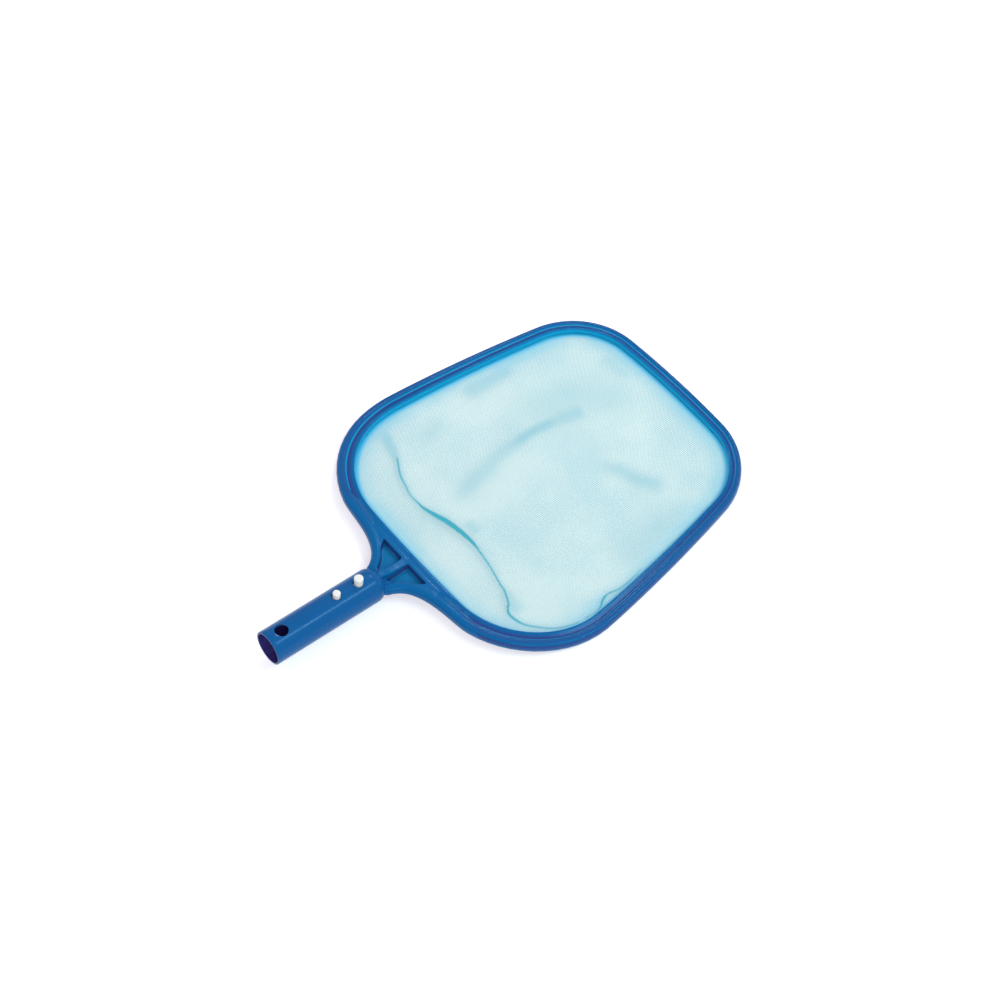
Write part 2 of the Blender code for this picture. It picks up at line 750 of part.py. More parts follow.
def socket_axis(head):
    """An empty at the dome's centre whose +X runs along the socket to its mouth and whose +Z is its top."""
    axis = bpy.data.objects.new("socket_axis", None)
    bpy.context.scene.collection.objects.link(axis)
    axis.parent = head
    axis.location = (DOME_CENTRE_X, 0, SOCKET_RADIUS + SOCKET_GROUND_GAP)
    axis.rotation_euler = (0, -SOCKET_TILT, math.pi)
    return axis


def main():
    clear_scene()
    head = head_origin()
    axis = socket_axis(head)
    build_frame(head, axis, material("frame_blue", BLUE, 0.34))
    build_socket(axis, material("socket_blue", DEEP_BLUE, 0.32))
    hem_low, hem_top = seat_levels()
    band("net_ring", head, material("ring_blue", BLUE, 0.4), GAP, RING_BOTTOM, hem_low - GAP)
    band("net_hem", head, material("hem_teal", TEAL, 0.7), GAP, hem_low, hem_top)
    build_net(head, material("net_aqua", AQUA, 0.8, 0.55))
    build_clip_base(axis, material("clip_white", IVORY, 0.42))
    build_clip_arm(axis, material("button_white", IVORY, 0.38))


main()
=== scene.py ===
import math

import bmesh
import bpy
import numpy as np
from mathutils import Matrix, Vector
from mathutils.bvhtree import BVHTree


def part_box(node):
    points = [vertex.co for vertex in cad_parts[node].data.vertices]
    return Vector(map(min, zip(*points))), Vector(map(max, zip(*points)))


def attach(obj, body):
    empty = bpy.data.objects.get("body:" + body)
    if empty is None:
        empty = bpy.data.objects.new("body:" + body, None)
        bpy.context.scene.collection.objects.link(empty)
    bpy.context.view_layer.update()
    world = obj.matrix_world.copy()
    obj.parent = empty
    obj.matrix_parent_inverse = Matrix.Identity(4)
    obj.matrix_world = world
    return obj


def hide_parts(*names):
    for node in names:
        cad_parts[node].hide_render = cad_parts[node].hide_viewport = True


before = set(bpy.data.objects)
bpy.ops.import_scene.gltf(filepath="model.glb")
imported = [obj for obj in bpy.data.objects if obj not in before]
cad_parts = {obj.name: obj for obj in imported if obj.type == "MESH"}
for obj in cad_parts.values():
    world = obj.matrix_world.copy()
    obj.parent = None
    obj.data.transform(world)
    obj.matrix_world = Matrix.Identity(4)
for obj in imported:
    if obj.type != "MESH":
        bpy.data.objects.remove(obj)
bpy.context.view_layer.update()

MM = 0.001

# Where the parts lie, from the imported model.
NET_LOW, NET_HIGH = [Vector(corner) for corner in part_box("net")]
HEM_LOW = Vector(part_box("net_hem")[0])

# Net opening: four bowed sides joined by corner arcs. NEAR_X is its edge beside the handle.
NEAR_X = NET_LOW.x
OPENING_LENGTH = NET_HIGH.x - NET_LOW.x
NEAR_HALF_WIDTH = 155.1 * MM
FAR_HALF_WIDTH = 132.9 * MM
NEAR_CORNER_RADIUS = 90.1 * MM
FAR_CORNER_RADIUS = 69.3 * MM
NEAR_SIDE_RADIUS = 1.8
LONG_SIDE_RADIUS = 1.6
FAR_SIDE_RADIUS = 1.1
NET_LEVEL = HEM_LOW.z + 0.2 * MM

# Neck: the frame climbs to the socket between these two stations.
LIP_TOP = 11.2 * MM
NECK_RISE = 9 * MM
RISE_FROM_X = 94 * MM
RISE_TO_X = -17.2 * MM

# Handle socket, turned about an axis that tilts up towards the mouth.
SOCKET_RADIUS = 17.25 * MM
SOCKET_BORE = 15.2 * MM
SOCKET_LENGTH = 116.2 * MM
SOCKET_TILT = math.radians(5.04)
SOCKET_CENTRE = Vector((NEAR_X - 53.4 * MM, 0, SOCKET_RADIUS + 0.3 * MM))
DOME_LENGTH = 14.2 * MM
CAVITY_RADIUS = 13.3 * MM
CAVITY_END = 9.5 * MM
CAVITY_BEND = 3 * MM
CAVITY_CHAMFER = 4.3 * MM
POLE_STOP = 24 * MM
LATCH_HOLE_POSITION = 100.7 * MM
LATCH_HOLE_RADIUS = 6.65 * MM
LARGE_BUTTON_POSITION = 12.6 * MM
LARGE_BUTTON_RADIUS = 4.5 * MM
SMALL_BUTTON_POSITION = 38 * MM
SMALL_BUTTON_RADIUS = 3.8 * MM
BUTTON_PLAY = 0.8 * MM
BUTTON_BIAS = 0.5 * MM
MOUTH_LIP = 0.6 * MM
HOLE_EDGE = 0.35 * MM
SHARP_FROM = math.radians(50)
SMOOTH_UNDER = math.radians(40)

# Rings of the socket's mesh: round its dome, and between and beside its three holes.
SOCKET_SIDES = 120
DOME_STEPS = 18
TUBE_LOOPS = [5 * MM, 21 * MM, 32 * MM, 45 * MM, 62 * MM, 80 * MM, 92 * MM, 110 * MM]


# ---------------------------------------------------------------- general helpers


def deselect():
    if bpy.context.mode != "OBJECT":
        bpy.ops.object.mode_set(mode="OBJECT")
    bpy.ops.object.select_all(action="DESELECT")


def make_active(obj):
    deselect()
    obj.select_set(True)
    bpy.context.view_layer.objects.active = obj


def apply_modifiers(obj):
    make_active(obj)
    for modifier in list(obj.modifiers):
        bpy.ops.object.modifier_apply(modifier=modifier.name)


def new_piece(name, mesh):
    obj = bpy.data.objects.new(name, mesh)
    bpy.context.scene.collection.objects.link(obj)
    return obj


def dress(obj, material, body, slot, *nodes):
    """Gives a finished piece its material and its body, and hides the nodes it stands for. Its slot is not
    used.
    """
    obj.data.materials.clear()
    obj.data.materials.append(material)
    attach(obj, body)
    if nodes:
        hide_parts(*nodes)


def mix(start, end, share):
    return start + (end - start) * share


def smooth_step(share):
    share = min(max(share, 0.0), 1.0)
    return share * share * (3 - 2 * share)


def neck_lift(x):
    """How far the frame has risen at x: nothing at the far side, and all of it at the socket."""
    return NECK_RISE * smooth_step((NEAR_X + RISE_FROM_X - x) / (RISE_FROM_X - RISE_TO_X))


def put_attribute(mesh, name, values):
    layer = mesh.attributes.new(name, "FLOAT", "POINT")
    layer.data.foreach_set("value", values)


# ---------------------------------------------------------------- net opening


def circle_through(first, second, radius):
    """Centre of the circle through two points, on the side of the smaller y."""
    chord = second - first
    normal = Vector((-chord.y, chord.x)).normalized()
    if normal.y > 0:
        normal = -normal
    return (first + second) / 2 + normal * math.sqrt(radius**2 - (chord.length / 2) ** 2)


def corner_centre(side, side_radius, end, end_radius, radius, near):
    """Centre of the corner arc that runs smoothly into a side's arc and an end's arc.

    Two centres fit, and the one nearer to the given point is taken.
    """
    across = end - side
    reach = side_radius - radius
    along = (reach**2 - (end_radius - radius) ** 2 + across.length_squared) / (2 * across.length)
    height = math.sqrt(max(reach**2 - along**2, 0.0))
    foot = side + across.normalized() * along
    square = Vector((-across.y, across.x)).normalized() * height
    return min((foot + square, foot - square), key=lambda point: (point - near).length)


def arc_points(centre, radius, start, end, steps):
    first = math.atan2(start.y, start.x)
    last = math.atan2(end.y, end.x)
    found = []
    for step in range(steps):
        angle = mix(first, last, step / steps)
        found.append(centre + Vector((math.cos(angle), math.sin(angle))) * radius)
    return found


JUST_UNDER_HALF_TURN = Vector((-1, 1e-9))


def opening_outline(steps=40):
    """The lip's inner edge in plan, anticlockwise from the middle of the far side."""
    near_point = Vector((NEAR_CORNER_RADIUS, NEAR_HALF_WIDTH))
    far_point = Vector((OPENING_LENGTH - FAR_CORNER_RADIUS, FAR_HALF_WIDTH))
    side = circle_through(far_point, near_point, LONG_SIDE_RADIUS)
    far = Vector((OPENING_LENGTH - FAR_SIDE_RADIUS, 0))
    near = Vector((NEAR_SIDE_RADIUS, 0))
    below_far = far_point - Vector((0, FAR_CORNER_RADIUS))
    below_near = near_point - Vector((0, NEAR_CORNER_RADIUS))
    far_corner = corner_centre(side, LONG_SIDE_RADIUS, far, FAR_SIDE_RADIUS, FAR_CORNER_RADIUS, below_far)
    near_corner = corner_centre(
        side, LONG_SIDE_RADIUS, near, NEAR_SIDE_RADIUS, NEAR_CORNER_RADIUS, below_near
    )
    half = arc_points(far, FAR_SIDE_RADIUS, Vector((1, 0)), far_corner - far, steps)
    half += arc_points(far_corner, FAR_CORNER_RADIUS, far_corner - far, far_corner - side, steps)
    half += arc_points(side, LONG_SIDE_RADIUS, far_corner - side, near_corner - side, steps)
    half += arc_points(near_corner, NEAR_CORNER_RADIUS, near_corner - side, near_corner - near, steps)
    half += arc_points(near, NEAR_SIDE_RADIUS, near_corner - near, JUST_UNDER_HALF_TURN, steps)
    other = [Vector((point.x, -point.y)) for point in half[1:]][::-1]
    return [point + Vector((NEAR_X, 0)) for point in half + [Vector((0, 0))] + other]


# ---------------------------------------------------------------- material parts


def new_material(name):
    made = bpy.data.materials.new(name)
    made.use_nodes = True
    tree = made.node_tree
    return made, tree, tree.nodes["Principled BSDF"]


def add_node(tree, kind, place=(0, 0), **values):
    made = tree.nodes.new(kind)
    made.location = place
    for name, value in values.items():
        setattr(made, name, value)
    return made


def link(tree, source, target):
    tree.links.new(source, target)


def blend_colours(tree, factor, first, second):
    made = add_node(tree, "ShaderNodeMix", data_type="RGBA")
    given = ((made.inputs[0], factor), (made.inputs[6], first), (made.inputs[7], second))
    for socket, value in given:
        if isinstance(value, bpy.types.NodeSocket):
            link(tree, value, socket)
        else:
            socket.default_value = value
    return made.outputs[2]


def colour(red, green, blue):
    """A linear colour from the 0 to 255 numbers of a screen colour."""
    found = []
    for value in (red, green, blue):
        value /= 255
        found.append(value / 12.92 if value <= 0.04045 else ((value + 0.055) / 1.055) ** 2.4)
    return (*found, 1.0)


GRAIN_SCALE = 1400.0
GRAIN_DEPTH = 0.03
GRAIN_HEIGHT = 0.0002
FLOW_SCALE = 22.0
GLOSSIEST = 0.15
DULLEST = 0.22


def moulded_grain_group():
    """Fine mould texture and faint flow marks: a colour shift, a roughness shift and a normal."""
    group = bpy.data.node_groups.new("moulded_grain", "ShaderNodeTree")
    inputs = (("Grain Scale", GRAIN_SCALE), ("Grain Depth", GRAIN_DEPTH), ("Flow Scale", FLOW_SCALE))
    for name, value in inputs:
        socket = group.interface.new_socket(name, in_out="INPUT", socket_type="NodeSocketFloat")
        socket.default_value = value
    group.interface.new_socket("Flow", in_out="OUTPUT", socket_type="NodeSocketFloat")
    group.interface.new_socket("Roughness", in_out="OUTPUT", socket_type="NodeSocketFloat")
    group.interface.new_socket("Normal", in_out="OUTPUT", socket_type="NodeSocketVector")
    entry = add_node(group, "NodeGroupInput", (-900, 0))
    leave = add_node(group, "NodeGroupOutput", (500, 0))
    place = add_node(group, "ShaderNodeTexCoord", (-900, -300))
    flow = add_node(group, "ShaderNodeTexNoise", (-600, 200))
    flow.inputs["Detail"].default_value = 4
    grain = add_node(group, "ShaderNodeTexNoise", (-600, -200))
    grain.inputs["Detail"].default_value = 2
    link(group, place.outputs["Object"], flow.inputs["Vector"])
    link(group, place.outputs["Object"], grain.inputs["Vector"])
    link(group, entry.outputs["Flow Scale"], flow.inputs["Scale"])
    link(group, entry.outputs["Grain Scale"], grain.inputs["Scale"])
    rough = add_node(group, "ShaderNodeMapRange", (-300, 0))
    rough.inputs["From Min"].default_value = 0.3
    rough.inputs["From Max"].default_value = 0.7
    rough.inputs["To Min"].default_value = GLOSSIEST
    rough.inputs["To Max"].default_value = DULLEST
    link(group, flow.outputs["Fac"], rough.inputs["Value"])
    bump = add_node(group, "ShaderNodeBump", (0, -200))
    bump.inputs["Distance"].default_value = GRAIN_HEIGHT
    link(group, entry.outputs["Grain Depth"], bump.inputs["Strength"])
    link(group, grain.outputs["Fac"], bump.inputs["Height"])
    link(group, flow.outputs["Fac"], leave.inputs["Flow"])
    link(group, rough.outputs["Result"], leave.inputs["Roughness"])
    link(group, bump.outputs["Normal"], leave.inputs["Normal"])
    return group


GRAIN = moulded_grain_group()

NET_PALE = colour(176, 218, 215)
NET_SOFT = colour(142, 203, 208)
NET_GATHERED = colour(84, 186, 208)
NET_RIM_LIGHT_WIDE = colour(112, 210, 230)
NET_FOLD = colour(50, 174, 192)
NET_RIM_LIGHT_NARROW = colour(40, 192, 232)

# Each blue: its face, a painted shade for its recesses, the faint flow marks in its face, and a painted
# glow for thin walls with light behind.
FRAME_BLUES = (colour(6, 99, 162), colour(48, 72, 140), colour(4, 105, 166), colour(4, 178, 230))
SOCKET_BLUES = (colour(18, 93, 157), colour(58, 50, 118), colour(14, 98, 161))
RING_BLUES = (colour(8, 110, 172), colour(42, 66, 136), colour(6, 116, 178))
CLIP_WHITES = (colour(250, 248, 240), colour(253, 252, 247))
HEM_TEALS = (colour(40, 150, 175), colour(70, 180, 200))
PLASTIC_SHINE = 0.2
PLASTIC_SHINE_TINT = (0.6, 0.75, 1.0, 1.0)
CLIP_GRAIN_SCALE = 900.0
CLIP_GRAIN_DEPTH = 0.05


def grain_node(tree, scale=GRAIN_SCALE, depth=GRAIN_DEPTH):
    made = add_node(tree, "ShaderNodeGroup", (-700, -200), node_tree=GRAIN)
    made.inputs["Grain Scale"].default_value = scale
    made.inputs["Grain Depth"].default_value = depth
    return made


def blue_plastic(name, face, painted_shade, flow, painted_glow=None):
    """Glossy blue moulding, with painted shade in its recesses and a painted glow where thin walls would
    let light through.
    """
    made, tree, shader = new_material(name)
    grain = grain_node(tree)
    body = blend_colours(tree, grain.outputs["Flow"], face, flow)
    # Painted shade: a darker, more purple blue mixed in by a per-vertex attribute.
    painted_shade_mask = add_node(tree, "ShaderNodeAttribute", attribute_name="painted_shade")
    body = blend_colours(tree, painted_shade_mask.outputs["Fac"], body, painted_shade)
    if painted_glow:
        # Painted glow: a lighter cyan mixed in by a per-vertex attribute, standing in for light through
        # thin walls.
        thin = add_node(tree, "ShaderNodeAttribute", attribute_name="thin")
        body = blend_colours(tree, thin.outputs["Fac"], body, painted_glow)
    link(tree, body, shader.inputs["Base Color"])
    link(tree, grain.outputs["Roughness"], shader.inputs["Roughness"])
    link(tree, grain.outputs["Normal"], shader.inputs["Normal"])
    shader.inputs["IOR"].default_value = 1.5
    shader.inputs["Specular IOR Level"].default_value = PLASTIC_SHINE
    shader.inputs["Specular Tint"].default_value = PLASTIC_SHINE_TINT
    return made


# ---------------------------------------------------------------- moulded frame


# Skin of the frame: even faces of this size, softened, then thinned to a share of them.
SKIN_SIZE = 0.55 * MM
SKIN_SOFTENING = 0.5
SKIN_PASSES = 7
SHELL_SHARE = 0.4

# Seam: skin within reach of the socket goes this deep under it, and the pull fades out beyond.
SEAM_REACH = 1.2 * MM
SEAM_FADE = 2.6 * MM
SEAM_DEPTH = 0.35 * MM

# Pockets: how far behind the net they may start, and where a point under the deck's top looks for walls.
NECK_START = 8 * MM
POCKET_START = 2 * MM
UNDER_TOP = 0.6 * MM
LOOK_LIFT = 0.6 * MM
LOOK_TURNS = (0.4, 2.1, 3.5, 5.0)
POCKET_SPAN = 45 * MM

# Painted shade and painted glow in the frame's blue.
UPWARD_FROM = -0.1
UPWARD_SPAN = 0.5
FLOOR_FROM = 0.85
FLOOR_SPAN = 0.1
POCKET_FLOOR_LIGHTER = 0.9
GROOVE_SHADE_FROM = 0.4 * MM
GROOVE_SHADE_DEPTH = 1.8 * MM
CROWN_SHADE = 0.45
CROWN_HEIGHT = 0.5 * MM
POCKET_WALL_GLOW = 0.05
POCKET_FLOOR_GLOW = 0.22
FACES_NET_FROM = 0.2
FACES_NET_SPAN = 0.35
GLOW_START = 1 * MM
GLOW_DEPTH = 2.5 * MM


def socket_frame():
    """Where the socket's axis lies: +X runs to its mouth and +Z is its top."""
    turned = Matrix.Rotation(math.pi, 4, "Z") @ Matrix.Rotation(-SOCKET_TILT, 4, "Y")
    return Matrix.Translation(SOCKET_CENTRE) @ turned


def in_pocket(point, normal, walls):
    """Whether a point lies under the deck's top with walls of the same moulding all round it."""
    level = point.z - neck_lift(point.x)
    if point.x > NEAR_X - POCKET_START or level > LIP_TOP - UNDER_TOP or normal.z < UPWARD_FROM:
        return False
    eye = point + Vector((0, 0, LOOK_LIFT))
    ways = (Vector((math.cos(turn), math.sin(turn), 0)) for turn in LOOK_TURNS)
    return all(walls.ray_cast(eye, way, POCKET_SPAN)[0] for way in ways)


def floor_share(normal):
    """1 on a floor, 0 on a wall."""
    return smooth_step((normal.z - FLOOR_FROM) / FLOOR_SPAN)


def painted_shade_of(point, normal, pocket):
    """Painted shade: 1 deep in a groove or on a pocket's walls, less on its floor and on a bead's top, 0
    elsewhere.
    """
    level = point.z - neck_lift(point.x)
    if point.x < NEAR_X - NECK_START:
        return 1 - POCKET_FLOOR_LIGHTER * floor_share(normal) if pocket else 0.0
    faces_up = smooth_step((normal.z - UPWARD_FROM) / UPWARD_SPAN)
    deep = smooth_step((LIP_TOP - GROOVE_SHADE_FROM - level) / GROOVE_SHADE_DEPTH) * faces_up
    crown = smooth_step((level - LIP_TOP) / CROWN_HEIGHT)
    return max(deep, CROWN_SHADE * crown)


def painted_glow_of(point, normal, pocket):
    """Painted glow: 1 low on the walls that face the net, standing in for the light it scatters on them,
    and a little in a pocket.
    """
    if point.x < NEAR_X - GLOW_START:
        return mix(POCKET_WALL_GLOW, POCKET_FLOOR_GLOW, floor_share(normal)) if pocket else 0.0
    inward = Vector((NEAR_X + OPENING_LENGTH / 2, 0)) - point.xy
    facing = normal.xy.dot(inward.normalized())
    inside = smooth_step((facing - FACES_NET_FROM) / FACES_NET_SPAN)
    level = point.z - neck_lift(point.x)
    return inside * smooth_step((LIP_TOP - level) / GLOW_DEPTH)


def close_seam(mesh):
    """Draws the neck's edge in just under the socket's skin, so that the two meet as one moulding does.

    Reach is 1 on the socket's skin: an ellipsoid over the dome, and a tube from there to the mouth.
    """
    to_axis = socket_frame().inverted()
    back = socket_frame()
    for vertex in mesh.vertices:
        place = to_axis @ vertex.co
        if place.x > 2 * POLE_STOP or place.x < -2 * DOME_LENGTH:
            continue
        ahead = min(place.x, 0.0) / DOME_LENGTH
        reach = math.hypot(ahead, math.hypot(place.y, place.z) / SOCKET_RADIUS)
        if reach < 0.5:
            continue
        radius = math.hypot(min(place.x, 0.0), math.hypot(place.y, place.z)) / reach
        away = radius * (reach - 1)
        if away > SEAM_REACH + SEAM_FADE:
            continue
        share = 1 - smooth_step((away - SEAM_REACH) / SEAM_FADE)
        scale = 1 + share * ((radius - SEAM_DEPTH) / (radius * reach) - 1)
        along = place.x if place.x > 0 else place.x * scale
        vertex.co = back @ Vector((along, place.y * scale, place.z * scale))


def make_frame_shell():
    """The frame's own shape with every edge rounded as a moulding's is."""
    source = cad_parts["frame"]
    mesh = source.data.copy()
    mesh.name = "frame_shell"
    shell = new_piece("frame_shell", mesh)
    make_active(shell)
    bpy.ops.object.mode_set(mode="EDIT")
    bpy.ops.mesh.select_all(action="SELECT")
    bpy.ops.mesh.remove_doubles(threshold=0.01 * MM)
    bpy.ops.object.mode_set(mode="OBJECT")
    remesh = shell.modifiers.new("even_skin", "REMESH")
    remesh.mode = "VOXEL"
    remesh.voxel_size = SKIN_SIZE
    remesh.use_smooth_shade = True
    soften = shell.modifiers.new("rounded_edges", "SMOOTH")
    soften.factor = SKIN_SOFTENING
    soften.iterations = SKIN_PASSES
    thin = shell.modifiers.new("thinned", "DECIMATE")
    thin.ratio = SHELL_SHARE
    apply_modifiers(shell)
    close_seam(shell.data)
    skin = shell.data
    corners = [vertex.co for vertex in skin.vertices]
    walls = BVHTree.FromPolygons(corners, [face.vertices for face in skin.polygons])
    spots = [(v.co, v.normal, in_pocket(v.co, v.normal, walls)) for v in skin.vertices]
    # Per vertex: how much painted shade and how much painted glow the frame's blue gets.
    put_attribute(skin, "painted_shade", [painted_shade_of(*spot) for spot in spots])
    put_attribute(skin, "thin", [painted_glow_of(*spot) for spot in spots])
    return shell


# ---------------------------------------------------------------- handle socket


def socket_stations():
    """(distance along the axis, radius) pairs, from the dome's tip to the mouth and back down the bore."""
    angles = [math.pi / 2 * step / DOME_STEPS for step in range(1, DOME_STEPS + 1)]
    dome = [(-DOME_LENGTH * math.cos(angle), SOCKET_RADIUS * math.sin(angle)) for angle in angles]
    tube = [(place, SOCKET_RADIUS) for place in TUBE_LOOPS]
    rim = [
        (SOCKET_LENGTH - MOUTH_LIP, SOCKET_RADIUS),
        (SOCKET_LENGTH - MOUTH_LIP * 0.3, SOCKET_RADIUS - MOUTH_LIP * 0.3),
        (SOCKET_LENGTH, SOCKET_RADIUS - MOUTH_LIP),
        (SOCKET_LENGTH, SOCKET_BORE + MOUTH_LIP * 0.5),
        (SOCKET_LENGTH - MOUTH_LIP * 0.5, SOCKET_BORE),
    ]
    inside = [
        (POLE_STOP, SOCKET_BORE),
        (POLE_STOP, CAVITY_RADIUS),
        (CAVITY_BEND - CAVITY_END, CAVITY_RADIUS),
        (-CAVITY_END, CAVITY_RADIUS - CAVITY_CHAMFER),
    ]
    return dome + tube + rim + inside


def stand_on_socket_axis(obj):
    """Moves a shape made along +X into the socket's place, with +X towards the mouth."""
    obj.matrix_world = socket_frame()
    make_active(obj)
    bpy.ops.object.transform_apply(location=True, rotation=True, scale=True)


def make_socket_shell():
    """The tube: one circle extruded from station to station, closed at the dome and the bore's end."""
    stations = socket_stations()
    start, radius = stations[0]
    deselect()
    bpy.ops.mesh.primitive_circle_add(
        vertices=SOCKET_SIDES,
        radius=radius,
        fill_type="TRIFAN",
        location=(start, 0, 0),
        rotation=(0, math.pi / 2, 0),
    )
    shell = bpy.context.object
    shell.name = shell.data.name = "socket_shell"
    bpy.ops.object.transform_apply(location=True, rotation=True, scale=True)
    bpy.ops.object.mode_set(mode="EDIT")
    bpy.ops.mesh.select_all(action="DESELECT")
    builder = bmesh.from_edit_mesh(shell.data)
    for vertex in builder.verts:
        if abs(vertex.co.y) < 1e-9 and abs(vertex.co.z) < 1e-9:
            vertex.co.x = -DOME_LENGTH
    for edge in builder.edges:
        edge.select_set(edge.is_boundary)
    bmesh.update_edit_mesh(shell.data)
    here, size = start, radius
    for place, wide in stations[1:]:
        bpy.ops.mesh.extrude_region_move(TRANSFORM_OT_translate={"value": (place - here, 0, 0)})
        share = wide / size
        bpy.ops.transform.resize(value=(1, share, share), center_override=(place, 0, 0))
        here, size = place, wide
    bpy.ops.mesh.edge_face_add()
    bpy.ops.mesh.select_all(action="SELECT")
    bpy.ops.mesh.normals_make_consistent(inside=False)
    bpy.ops.object.mode_set(mode="OBJECT")
    for place, wide in (
        (LARGE_BUTTON_POSITION + BUTTON_BIAS, LARGE_BUTTON_RADIUS + BUTTON_PLAY),
        (SMALL_BUTTON_POSITION + BUTTON_BIAS, SMALL_BUTTON_RADIUS + BUTTON_PLAY),
        (LATCH_HOLE_POSITION, LATCH_HOLE_RADIUS),
    ):
        drill_hole(shell, place, wide)
    edges = shell.modifiers.new("hole_edges", "BEVEL")
    edges.width = HOLE_EDGE
    edges.segments = 2
    edges.limit_method = "ANGLE"
    edges.angle_limit = SHARP_FROM
    apply_modifiers(shell)
    bpy.ops.object.shade_smooth_by_angle(angle=SMOOTH_UNDER)
    # Painted shade on the bore's inside and on its holes' walls.
    put_attribute(shell.data, "painted_shade", [float(in_bore(vertex.co)) for vertex in shell.data.vertices])
    stand_on_socket_axis(shell)
    return shell


INSIDE_SHARE = 0.93


def in_bore(point):
    """Whether a point on the socket's own axes lies well under its outer skin."""
    ahead = min(point.x, 0.0) / DOME_LENGTH
    return math.hypot(ahead, math.hypot(point.y, point.z) / SOCKET_RADIUS) < INSIDE_SHARE


DRILL_SIDES = 48
DRILL_LENGTH = 30 * MM
DRILL_HEIGHT = 22 * MM


def drill_hole(shell, place, wide):
    """A round hole through the top wall, at a distance along the socket's axis."""
    deselect()
    bpy.ops.mesh.primitive_cylinder_add(
        vertices=DRILL_SIDES, radius=wide, depth=DRILL_LENGTH, location=(place, 0, DRILL_HEIGHT)
    )
    cutter = bpy.context.object
    bpy.ops.object.transform_apply(location=True, rotation=True, scale=True)
    cut = shell.modifiers.new("hole", "BOOLEAN")
    cut.operation = "DIFFERENCE"
    cut.solver = "EXACT"
    cut.object = cutter
    make_active(shell)
    bpy.ops.object.modifier_apply(modifier=cut.name)
    bpy.data.objects.remove(cutter, do_unlink=True)


# ---------------------------------------------------------------- net


NET_PITCH = 1.2 * MM
NET_MARGIN = 4 * MM
NET_MERGE = 0.05 * MM
NET_SAG = 1.2 * MM
NET_SWELL = 0.5 * MM
NET_HELD = 9 * MM  # its sag, waves and folds fade out over this far from its edge

# Folds and soft waves across the net: (x, y, half width) in mm in plan, and how strong each is.
MAIN_FOLD = (
    (-23, 105, 0.9), (-33, 87, 0.9), (-37, 73, 0.8), (-40, 63, 0.7), (-40, 50, 1.0), (-39, 41, 1.7),
    (-35, 28, 2.6), (-31, 16, 2.9), (-28, -2, 2.6), (-27, -17, 2.0), (-28, -27, 1.1), (-32, -51, 0.8),
    (-37, -71, 0.9), (-39, -81, 1.0), (-46, -96, 0.9),
)
CUFF_FOLD = (
    (-47, -95, 0.8), (-52, -103, 1.3), (-51, -113, 1.3), (-47, -122, 1.0), (-38, -132, 0.9),
    (-27, -141, 0.8), (-16, -146, 0.8), (-4, -149, 0.6),
)
EDGE_FOLD = (
    (3, -149, 0.5), (16, -150, 0.6), (23, -148, 1.0), (29, -144, 1.2), (37, -142, 1.0), (50, -145, 0.8),
    (64, -144, 0.7), (78, -142, 0.4),
)
WAVES = (
    (0.36, ((-19, 30, 6), (7, 36, 7), (30, 41, 7), (66, 48, 6), (86, 48, 5))),
    (0.62, ((60, 47, 4), (86, 48, 4), (105, 48, 4), (123, 45, 4), (134, 42, 4))),
    (0.45, ((123, 46, 5), (147, 39, 6), (161, 36, 7))),
    (0.28, ((60, 78, 14), (127, 65, 16), (168, 51, 17), (188, 29, 16), (191, -14, 14))),
    (0.42, ((120, -18, 5), (138, -38, 6), (145, -59, 6), (155, -77, 6), (161, -92, 4))),
    (0.22, ((16, 106, 5), (30, 113, 7), (49, 122, 6))),
    (0.60, ((-6, 152, 4), (-14, 135, 4), (-19, 120, 4), (-23, 107, 3), (-30, 92, 2))),
    (0.50, ((70, 131, 6), (87, 128, 8), (110, 124, 6), (129, 124, 6), (149, 124, 5))),
    (0.30, ((220, 81, 7), (221, 59, 6), (222, 33, 5))),
    (0.40, ((-16, 8, 5), (-16, -15, 6))),
    (0.45, ((-36, -76, 5), (-42, -92, 6), (-44, -112, 6))),
    (0.30, ((50, -118, 12), (94, -123, 13), (139, -119, 12), (190, -112, 9))),
    (0.60, ((-82, -6, 1.0), (-76, -5, 1.2))),
)
WAVE_TAPER = 0.3
WAVE_SOFTNESS = 1.45
WAVE_HEIGHT = 1.1 * MM
RIPPLES = ((-30, 22, 6), (4, 34, 8), (40, 43, 7), (70, 47, 4))
RIPPLE_STRENGTH = 0.35
RIPPLE_TURNS = 2.4
FOLD_HEIGHTS = ((MAIN_FOLD, 1.6 * MM), (CUFF_FOLD, 0.9 * MM), (EDGE_FOLD, 0.8 * MM))
FOLD_EDGE = 0.9 * MM
FOLD_SPREAD = 3.5 * MM
FOLD_SHADE_HALO = 0.4
ROUTE_STEPS = 6


def smooth_route(points):
    """A smooth curve through the given (x, y, half width) points, in metres."""
    given = [np.array(point) * MM for point in points]
    given = [given[0] * 2 - given[1]] + given + [given[-1] * 2 - given[-2]]
    found = []
    for a, b, c, d in zip(given, given[1:], given[2:], given[3:]):
        for step in range(ROUTE_STEPS):
            t = step / ROUTE_STEPS
            bend = (a * 2 - b * 5 + c * 4 - d) * t * t
            twist = (b * 3 - a - c * 3 + d) * t**3
            found.append((b * 2 + (c - a) * t + bend + twist) / 2)
    return np.array(found + [given[-2]])


def distance_and_width(points, route):
    """For each point its distance from a route, the route's half width there, and how far along it is."""
    nearest = np.full(len(points), 1e9)
    widths = np.ones(len(points)) * MM
    along = np.zeros(len(points))
    for count, (a, b) in enumerate(zip(route, route[1:])):
        run = b[:2] - a[:2]
        share = np.clip(((points - a[:2]) @ run) / (run @ run), 0, 1)
        gap = points - a[:2] - share[:, None] * run
        away = np.hypot(gap[:, 0], gap[:, 1])
        closer = away < nearest
        nearest = np.where(closer, away, nearest)
        widths = np.where(closer, a[2] + (b[2] - a[2]) * share, widths)
        along = np.where(closer, (count + share) / (len(route) - 1), along)
    return nearest, widths, along


